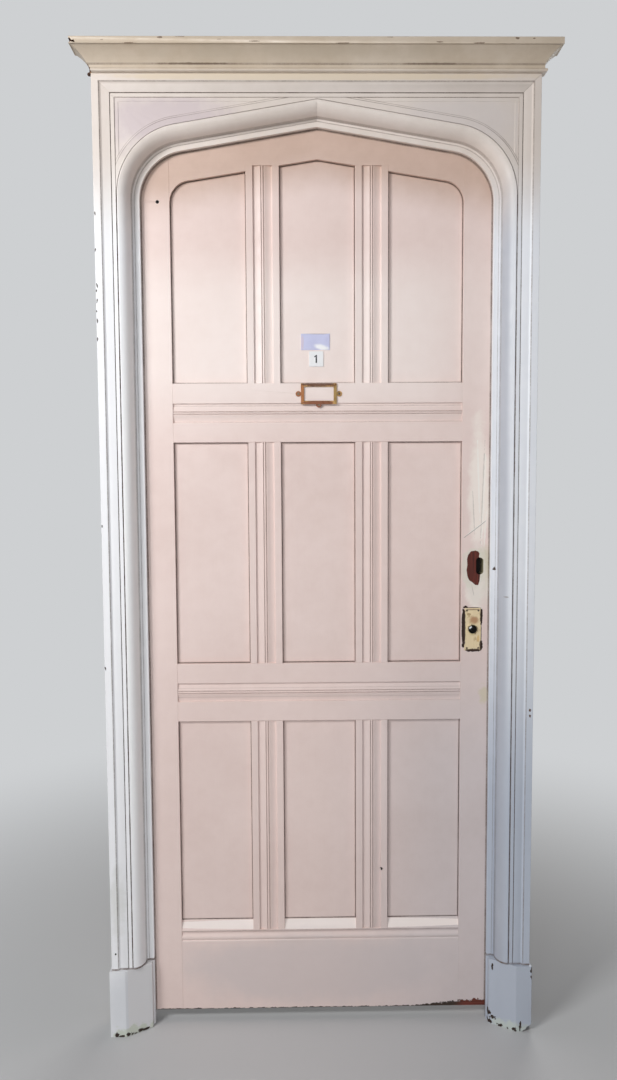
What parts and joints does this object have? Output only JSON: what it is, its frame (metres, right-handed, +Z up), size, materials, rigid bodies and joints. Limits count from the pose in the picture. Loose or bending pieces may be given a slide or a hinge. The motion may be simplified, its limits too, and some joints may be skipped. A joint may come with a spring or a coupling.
{
  "type": "panelled front door",
  "caption": "Painted panelled front door with a low four-centred arch, hung in its moulded frame with cornice and plinth blocks; mortice latch, butt hinges, knob and cylinder missing.",
  "frame": {"origin": "on the floor, at the middle of the assembly's box", "axes": "+X across the door, to the right seen from outside; +Y from outside inwards, through the wall; +Z up"},
  "size_m": [1.088, 0.152, 2.313],
  "materials": {
    "frame_paint": "old gloss paint, cream white",
    "frame_timber": "softwood, painted where it shows",
    "leaf_paint": "old gloss paint, pale pink beige",
    "hinge_steel": "painted over, worn at the knuckles",
    "screw_steel": "dull",
    "knob_plate_bronze": "tarnished",
    "card_frame_brass": "dark, tarnished",
    "small_screws": "tarnished",
    "plaque_metal": "satin",
    "number_enamel": "white enamel with a black numeral",
    "lock_iron": "rough",
    "forend_brass": "tarnished",
    "latch_steel": "worn"
  },
  "bodies": {
    "frame": {"arched_head": "frame_timber", "casing_head": "frame_paint", "casing_left": "frame_paint", "casing_right": "frame_paint", "cornice_front": "frame_paint", "cornice_ground": "frame_timber", "cornice_return_left": "frame_paint", "cornice_return_right": "frame_paint", "frame_screws": "screw_steel", "hinge_frame_plates": "hinge_steel", "hinge_pins": "hinge_steel", "plinth_left": "frame_paint", "plinth_right": "frame_paint", "post_left": "frame_timber", "post_right": "frame_timber", "roll_arch_left": "frame_paint", "roll_arch_right": "frame_paint", "roll_upright_left": "frame_paint", "roll_upright_right": "frame_paint", "spandrel_left": "frame_paint", "spandrel_right": "frame_paint", "stop_arch_left": "frame_paint", "stop_arch_right": "frame_paint", "stop_upright_left": "frame_paint", "stop_upright_right": "frame_paint", "strike_plate": "forend_brass"},
    "leaf": {"bottom_rail": "leaf_paint", "card_frame": "card_frame_brass", "card_screws": "small_screws", "hinge_leaf_plates": "hinge_steel", "knob_plate": "knob_plate_bronze", "knob_plate_screws": "small_screws", "leaf_screws": "screw_steel", "lock_cap": "lock_iron", "lock_case": "lock_iron", "lock_forend": "forend_brass", "lock_rail": "leaf_paint", "muntin_lower_left": "leaf_paint", "muntin_lower_right": "leaf_paint", "muntin_middle_left": "leaf_paint", "muntin_middle_right": "leaf_paint", "muntin_upper_left": "leaf_paint", "muntin_upper_right": "leaf_paint", "name_plate": "plaque_metal", "number_plate": "number_enamel", "panel_lower_centre": "leaf_paint", "panel_lower_left": "leaf_paint", "panel_lower_right": "leaf_paint", "panel_middle_centre": "leaf_paint", "panel_middle_left": "leaf_paint", "panel_middle_right": "leaf_paint", "panel_upper_centre": "leaf_paint", "panel_upper_left": "leaf_paint", "panel_upper_right": "leaf_paint", "stile_hinge": "leaf_paint", "stile_lock": "leaf_paint", "top_rail": "leaf_paint", "upper_rail": "leaf_paint"},
    "hub": {"lock_hub": "latch_steel"},
    "latch": {"latch_bolt": "latch_steel"}
  },
  "joints": [
    {"name": "leaf_swing", "type": "hinge", "parent": "frame", "child": "leaf", "pos_m": [-0.4215, 0.07, 0], "axis": [0, 0, 1], "range_deg": [0, 110]},
    {"name": "hub_turn", "type": "hinge", "parent": "leaf", "child": "hub", "pos_m": [0.3725, 0.04175, 0.981], "axis": [0, 1, 0], "range_deg": [0, 40]},
    {"name": "latch_slide", "type": "slide", "parent": "leaf", "child": "latch", "axis": [1, 0, 0], "range_m": [0, 0.0109]}
  ],
  "couplings": [
    {"joint": "hub_turn", "follows": "latch_slide", "rad_per_m": 63.8}
  ]
}
